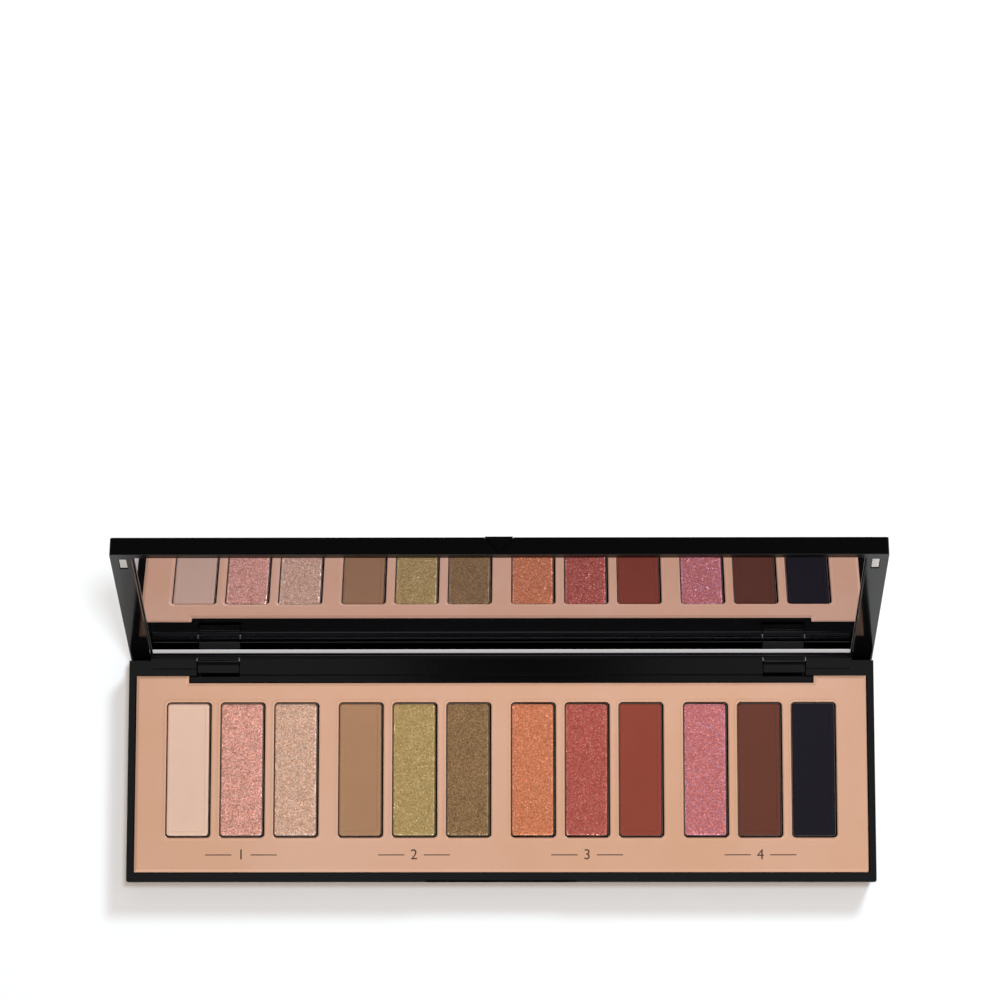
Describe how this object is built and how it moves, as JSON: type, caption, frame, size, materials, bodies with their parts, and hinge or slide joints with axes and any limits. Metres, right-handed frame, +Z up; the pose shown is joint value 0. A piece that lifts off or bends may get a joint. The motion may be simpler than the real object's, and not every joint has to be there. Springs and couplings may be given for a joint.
{
  "type": "eyeshadow palette",
  "caption": "Slim black eyeshadow palette with a hinged mirror lid, a peach face plate and long rectangular pressed-powder pans in groups.",
  "frame": {"origin": "centre of the base's underside, on the surface it stands on", "axes": "+Z up, +X along the palette's length to the user's right, +Y from the front edge to the hinge"},
  "size_m": [0.186, 0.0788, 0.06],
  "materials": {
    "casing_gloss": "polished black, moulded",
    "inner_satin": "fine satin black, moulded",
    "plate_lacquer": "satin peach lacquer with a bevelled border",
    "label_paper": "coated paper label",
    "pan_metal": "drawn thin sheet",
    "pin_steel": "ground wire pin",
    "magnet_nickel": "nickel-plated block",
    "mirror_glass": "silvered glass with a ground edge",
    "tape": "double-sided foam tape",
    "powder_cream": "pressed powder, matte",
    "powder_rose_shimmer": "pressed powder, shimmer",
    "powder_champagne_shimmer": "pressed powder, shimmer",
    "powder_tan": "pressed powder, matte",
    "powder_olive_gold": "pressed powder, shimmer",
    "powder_olive_brown": "pressed powder, fine shimmer",
    "powder_copper_orange": "pressed powder, shimmer",
    "powder_coral_red": "pressed powder, shimmer",
    "powder_brick": "pressed powder, matte",
    "powder_violet_pink": "pressed powder, shimmer",
    "powder_dark_brown": "pressed powder, matte",
    "powder_blue_black": "pressed powder, matte"
  },
  "bodies": {
    "base": {"base_shell": "casing_gloss", "pan_tray": "inner_satin", "hinge_deck": "inner_satin", "face_plate": "plate_lacquer", "base_label": "label_paper", "pan_01": "pan_metal", "pan_02": "pan_metal", "pan_03": "pan_metal", "pan_04": "pan_metal", "pan_05": "pan_metal", "pan_06": "pan_metal", "pan_07": "pan_metal", "pan_08": "pan_metal", "pan_09": "pan_metal", "pan_10": "pan_metal", "pan_11": "pan_metal", "pan_12": "pan_metal", "powder_01": "powder_cream", "powder_02": "powder_rose_shimmer", "powder_03": "powder_champagne_shimmer", "powder_04": "powder_tan", "powder_05": "powder_olive_gold", "powder_06": "powder_olive_brown", "powder_07": "powder_copper_orange", "powder_08": "powder_coral_red", "powder_09": "powder_brick", "powder_10": "powder_violet_pink", "powder_11": "powder_dark_brown", "powder_12": "powder_blue_black", "hinge_pin_left": "pin_steel", "hinge_pin_right": "pin_steel", "base_magnet_left": "magnet_nickel", "base_magnet_right": "magnet_nickel"},
    "lid": {"lid_shell": "casing_gloss", "mirror": "mirror_glass", "mirror_tape": "tape", "thumb_tab": "casing_gloss", "lid_magnet_left": "magnet_nickel", "lid_magnet_right": "magnet_nickel"}
  },
  "joints": [
    {"name": "lid_hinge", "type": "hinge", "parent": "base", "child": "lid", "pos_m": [0, 0.0258, 0.00795], "axis": [1, 0, 0], "range_deg": [0, 108.5]}
  ]
}
